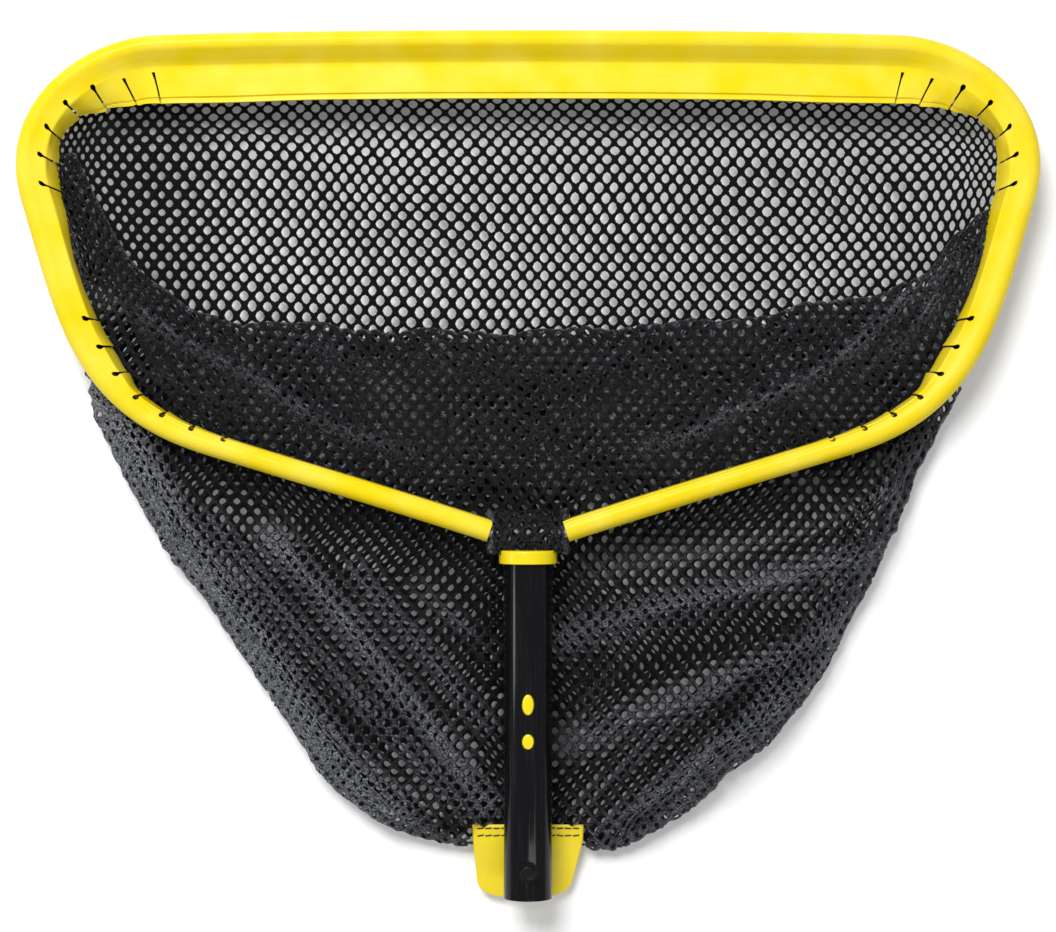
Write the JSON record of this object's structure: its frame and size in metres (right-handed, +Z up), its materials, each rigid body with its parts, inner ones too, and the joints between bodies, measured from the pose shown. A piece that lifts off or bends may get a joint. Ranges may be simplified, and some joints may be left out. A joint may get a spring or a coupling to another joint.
{
  "type": "leaf skimmer net",
  "caption": "Pool leaf skimmer head: D-shaped frame in an edging strip, a deep knitted bag with a pull tab, and a handle tube with a snap-button clip for a telescopic pole.",
  "frame": {"origin": "bottom centre of the bounding box, on the surface that the bag lies on", "axes": "+X to the right across the mouth, +Y from the handle to the nose, +Z up out of the mouth"},
  "size_m": [0.56, 0.4756, 0.0403],
  "materials": {
    "edging_vinyl": "soft glossy extruded vinyl",
    "plug_yellow": "moulded",
    "rod_aluminium": "drawn",
    "net_knit": "knitted polyester mesh with round holes",
    "thread": "bonded thread",
    "tube_black": "gloss black",
    "spring_steel": "spring strip",
    "button_black": "satin"
  },
  "bodies": {
    "root": {"edge_channel": "edging_vinyl", "frame_rod": "rod_aluminium", "net_hem": "net_knit", "throat_wrap": "net_knit", "net_lower_panel": "net_knit", "net_upper_panel": "net_knit", "bag_seam": "thread", "tab_root": "edging_vinyl", "tab_stitch_row_1": "thread", "tab_stitch_row_2": "thread", "handle_tube": "tube_black", "core_plug": "plug_yellow", "clip_bend": "spring_steel"},
    "clip_top": {"clip_arm_top": "spring_steel", "snap_button_top": "button_black"},
    "clip_bottom": {"clip_arm_bottom": "spring_steel", "snap_button_bottom": "button_black"},
    "tab": {"tab_flap": "edging_vinyl"}
  },
  "joints": [
    {"name": "snap_top_press", "type": "hinge", "parent": "root", "child": "clip_top", "pos_m": [0, -0.18085, 0.028], "axis": [1, 0, 0], "range_deg": [0, 5.9], "stiffness_Nm_per_rad": 2, "springref_deg": -1.72},
    {"name": "snap_bottom_press", "type": "hinge", "parent": "root", "child": "clip_bottom", "pos_m": [0, -0.18085, 0.018], "axis": [-1, 0, 0], "range_deg": [0, 5.9], "stiffness_Nm_per_rad": 2, "springref_deg": -1.72},
    {"name": "tab_fold", "type": "hinge", "parent": "root", "child": "tab", "pos_m": [0, -0.20935, 0.00495], "axis": [1, 0, 0], "range_deg": [0, 75]}
  ]
}
